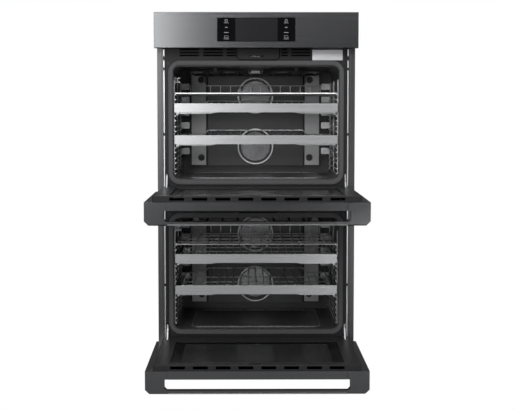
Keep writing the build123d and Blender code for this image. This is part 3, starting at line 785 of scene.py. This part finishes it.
def trim_beads():
    """Bright beads down the side trims, stopped short of each screw."""
    beads = []
    for low, high in bead_spans():
        for side in (-1, 1):
            rings = []
            sizes = ((low, BEAD_END), (low + BEAD_TAPER, 1), (high - BEAD_TAPER, 1), (high, BEAD_END))
            for z, size in sizes:
                rings.append([(side * (BEAD_X + (x - BEAD_X) * size), y, z) for x, y in BEAD_SECTION])
            beads.append(loft("bead", rings))
    finish_piece(merge("trim_beads", beads), "chassis", "bead_metal")


def trim_tabs():
    """Upper ends of the side trims, reaching up behind the control panel."""
    tabs = []
    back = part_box("control_fascia")[1].y
    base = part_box("side_trims")[1].z - 0.001
    for side in (-1, 1):
        x = sorted((side * TAB_SPAN[0], side * TAB_SPAN[1]))
        tab = cut_sheet("tab", [rounded(x, (base, base + TAB_HEIGHT), 0.002)], TAB_THICK, 0.0003)
        move(tab, y=back + 0.001)
        tabs.append(tab)
    finish_piece(merge("trim_tabs", tabs), "chassis", "trim_metal")


def crossed_slot(reach, half):
    """Outline of a cross with arms of a reach and a half width."""
    quarter = [(reach, half), (half, half), (half, reach)]
    left = [(-x, z) for x, z in reversed(quarter)]
    return quarter + left + [(-x, -z) for x, z in quarter] + [(-x, -z) for x, z in left]


def cabinet_screws():
    """Pan-head screws through the side trims into the cabinet, with a crossed slot."""
    screws = []
    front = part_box("side_trims")[0].y
    for side in (-1, 1):
        for z in MOUNT_ZS:
            slot = crossed_slot(0.0026, 0.0004)
            head = cut_sheet("head", [circle(0, 0, SCREW_HEAD), slot], 0.002, 0.0008)
            move(head, y=-0.001)
            for part in (head, turned_shape("screw", SCREW_BODY)):
                move(part, side * MOUNT_X, front, z)
                screws.append(part)
    finish_piece(merge("cabinet_screws", screws), "chassis", "trim_metal")


def latch_shade_lines():
    """Black line down the sides and along the bottom of each latch cover: painted shade of the gap round
    the cover.
    """
    rims = []
    for oven in OVENS:
        top = LOW[oven] + COVER_UPS[oven]
        line = [(x, COVER_Y, top + up) for x, up in COVER_LINE]
        rims.append(wires("rim", [(line, False)], COVER_SHADE_WIRE))
    finish_piece(merge("latch_shade_lines", rims), "chassis", "felt")


# ---------------------------------------------------------------- doors

PRINT = 0.0002                      # thickness of a door's border and bezel
BORDER_SPAN = (-0.2965, 0.2965)
BORDER_UPS = (0.1075, 0.5115)
WINDOW_SPAN = (-0.262, 0.262)
WINDOW_UPS = (0.142, 0.486)
BEZEL_SPAN = (-0.0295, 0.012)
BEZEL_UPS = (0.535, 0.551)
SLOT_SPAN = (-0.026, 0.0085)
SLOT_UPS = (0.539, 0.547)
LIP_RADIUS = 0.0023
LIP_SPAN = (-0.302, 0.302)


def door_sheet(name, oven, outlines, y, finish):
    """A printed sheet on the inner side of a door."""
    low = LOW[oven]
    raised = [[(x, low + up) for x, up in outline] for outline in outlines]
    sheet = cut_sheet(name, raised, PRINT)
    move(sheet, y=y + PRINT / 2)
    open_door(sheet, oven)
    finish_piece(sheet, f"{oven}_door", finish)


def door_prints():
    """Black border round each inner window, and black bezel round the latch's slot."""
    border = [rounded(BORDER_SPAN, BORDER_UPS, 0.0115), rounded(WINDOW_SPAN, WINDOW_UPS, 0.010)]
    bezel = [rounded(BEZEL_SPAN, BEZEL_UPS, 0.004), rounded(SLOT_SPAN, SLOT_UPS, 0.002)]
    for oven in OVENS:
        door_sheet(f"{oven}_window_border", oven, border, WINDOW_Y, "print_black")
        door_sheet(f"{oven}_strike_bezel", oven, bezel, LINER_Y, "felt")


def handle_lips():
    """Rounded lip along the lower front edge of each handle's bar."""
    for oven in OVENS:
        z = LOW[oven] + DOOR_HEIGHT - LIP_RADIUS
        run = [(x, HANDLE_Y + LIP_RADIUS, z) for x in LIP_SPAN]
        lip = wires(f"{oven}_handle_lip", [(run, False)], LIP_RADIUS, 12)
        open_door(lip, oven)
        finish_piece(lip, f"{oven}_door", "lip_metal")


# ---------------------------------------------------------------- studio

# Name, place, target, size in metres, and watts.
LIGHTS = (
    ("key", (-1.8, -4.6, 1.45), (-0.1, 0, 0.9), (2.4, 1.6), 66),
    ("top", (-0.3, -2.6, 3.4), (0, 0, 0.6), (3, 1.6), 60),
    ("front", (0.1, -4.4, 3.1), (0, 0, 0.8), (2.4, 1.0), 95),
    ("right", (1.9, -4.6, 0.6), (0, 0, 0.4), (0.7, 1.0), 6),
    ("low", (1.4, -3.4, 0.07), (0.1, 0, 0.3), (1.8, 0.2), 7),
)
LENS_MM = 89.22
CAMERA_PLACE = (-0.0338, -4.8198, 0.9612)
PITCH_DOWN = 4.263
YAW = -0.462
FLOOR_HALF = 30


def area_light(name, place, target, size, power):
    light = bpy.data.lights.new(name, "AREA")
    light.shape = "RECTANGLE"
    light.size, light.size_y = size
    light.energy = power
    lamp = bpy.data.objects.new(name, light)
    lamp.location = place
    lamp.rotation_euler = (Vector(target) - lamp.location).to_track_quat("-Z", "Y").to_euler()
    bpy.context.scene.collection.objects.link(lamp)


def camera():
    """The photograph's angle: level with the upper oven and pitched down a little."""
    data = bpy.data.cameras.new("camera")
    data.lens = LENS_MM
    data.sensor_width = 36
    view = bpy.data.objects.new("camera", data)
    view.location = CAMERA_PLACE
    view.rotation_euler = (math.radians(90 - PITCH_DOWN), 0, math.radians(YAW))
    bpy.context.scene.collection.objects.link(view)
    bpy.context.scene.camera = view


def white_to_the_lens(nodes, links, shader, output):
    """A shader that the lens sees as plain white, and that lights the object only dimly."""
    white = nodes.new("ShaderNodeBackground" if output == "World Output" else "ShaderNodeEmission")
    white.inputs["Color"].default_value = (1, 1, 1, 1)
    path = nodes.new("ShaderNodeLightPath")
    mix = nodes.new("ShaderNodeMixShader")
    links.new(path.outputs["Is Camera Ray"], mix.inputs["Fac"])
    links.new(shader.outputs[0], mix.inputs[1])
    links.new(white.outputs[0], mix.inputs[2])
    links.new(mix.outputs[0], nodes[output].inputs["Surface"])


def world():
    made = bpy.data.worlds.new("studio")
    made.use_nodes = True
    nodes, links = made.node_tree.nodes, made.node_tree.links
    nodes["Background"].inputs["Color"].default_value = (0.085, 0.085, 0.088, 1)
    white_to_the_lens(nodes, links, nodes["Background"], "World Output")
    bpy.context.scene.world = made


def floor():
    """Pale studio floor."""
    corners = [(-FLOOR_HALF, -FLOOR_HALF, 0), (FLOOR_HALF, -FLOOR_HALF, 0),
               (FLOOR_HALF, FLOOR_HALF, 0), (-FLOOR_HALF, FLOOR_HALF, 0)]
    mesh = bpy.data.meshes.new("floor")
    mesh.from_pydata(corners, [], [(0, 1, 2, 3)])
    ground = mesh_object("floor", mesh)
    made = Surface("floor", (0.3, 0.3, 0.3), roughness=0.9)
    made.shader.inputs["Emission Color"].default_value = (1, 1, 1, 1)
    made.shader.inputs["Emission Strength"].default_value = 0.06
    white_to_the_lens(made.nodes, made.links, made.shader, "Material Output")
    ground.data.materials.append(made.material)


def studio():
    camera()
    world()
    floor()
    for light in LIGHTS:
        area_light(*light)
    bpy.context.scene.view_settings.view_transform = "Standard"


finishes = make_finishes()
dress_nodes()
studio()
touch_marks()
fan_guards()
wing_plates()
lamp_fronts()
floor_rims()
vent_shade_sheets()
broil_clips()
trim_beads()
trim_tabs()
slide_hooks()
cabinet_screws()
latch_shade_lines()
door_prints()
handle_lips()
